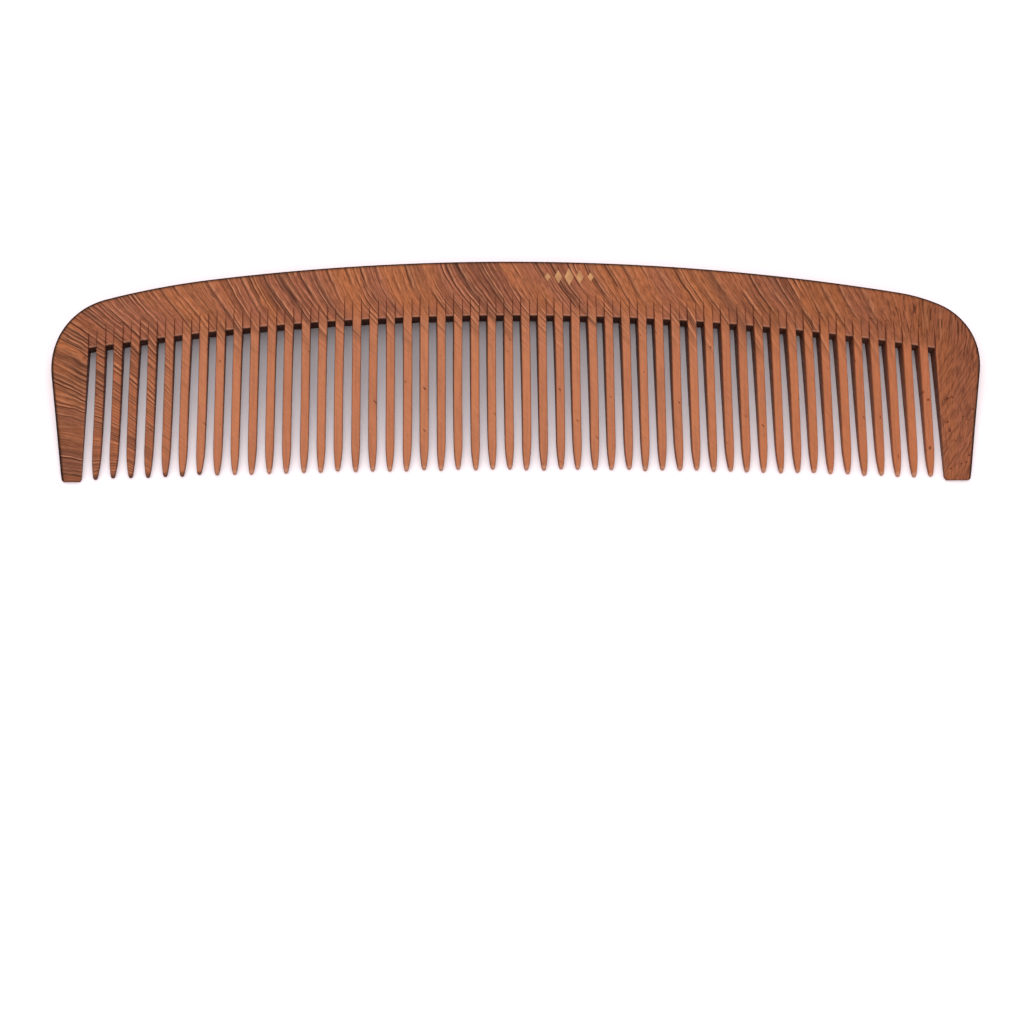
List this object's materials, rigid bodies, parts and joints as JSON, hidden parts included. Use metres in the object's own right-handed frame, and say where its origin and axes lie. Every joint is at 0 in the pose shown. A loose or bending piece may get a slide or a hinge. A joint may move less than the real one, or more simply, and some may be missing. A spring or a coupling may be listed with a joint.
{
  "type": "comb",
  "caption": "Flat wooden comb for a beard: arched back with an end guard at each side, a row of slim pointed teeth rooted in the back, and a small stamped ornament.",
  "frame": {"origin": "centre of the comb's footprint, on the flat rear face that it rests on", "axes": "+X along the comb, -Y the way the teeth point, +Z out of the front face"},
  "size_m": [0.18, 0.043, 0.005],
  "materials": {
    "back_wood": "reddish-brown hardwood, dark curved grain, sanded and oiled to a satin",
    "tooth_wood": "the same hardwood where it is cut and sanded, lighter and more orange, satin",
    "gold_stamp": "thin matt gold-tan stamping foil pressed into the wood"
  },
  "bodies": {
    "root": {"back": "back_wood", "tooth_01": "tooth_wood", "tooth_02": "tooth_wood", "tooth_03": "tooth_wood", "tooth_04": "tooth_wood", "tooth_05": "tooth_wood", "tooth_06": "tooth_wood", "tooth_07": "tooth_wood", "tooth_08": "tooth_wood", "tooth_09": "tooth_wood", "tooth_10": "tooth_wood", "tooth_11": "tooth_wood", "tooth_12": "tooth_wood", "tooth_13": "tooth_wood", "tooth_14": "tooth_wood", "tooth_15": "tooth_wood", "tooth_16": "tooth_wood", "tooth_17": "tooth_wood", "tooth_18": "tooth_wood", "tooth_19": "tooth_wood", "tooth_20": "tooth_wood", "tooth_21": "tooth_wood", "tooth_22": "tooth_wood", "tooth_23": "tooth_wood", "tooth_24": "tooth_wood", "tooth_25": "tooth_wood", "tooth_26": "tooth_wood", "tooth_27": "tooth_wood", "tooth_28": "tooth_wood", "tooth_29": "tooth_wood", "tooth_30": "tooth_wood", "tooth_31": "tooth_wood", "tooth_32": "tooth_wood", "tooth_33": "tooth_wood", "tooth_34": "tooth_wood", "tooth_35": "tooth_wood", "tooth_36": "tooth_wood", "tooth_37": "tooth_wood", "tooth_38": "tooth_wood", "tooth_39": "tooth_wood", "tooth_40": "tooth_wood", "tooth_41": "tooth_wood", "tooth_42": "tooth_wood", "tooth_43": "tooth_wood", "tooth_44": "tooth_wood", "tooth_45": "tooth_wood", "tooth_46": "tooth_wood", "tooth_47": "tooth_wood", "tooth_48": "tooth_wood", "tooth_49": "tooth_wood", "tooth_50": "tooth_wood", "stamped_ornament": "gold_stamp"}
  },
  "joints": []
}
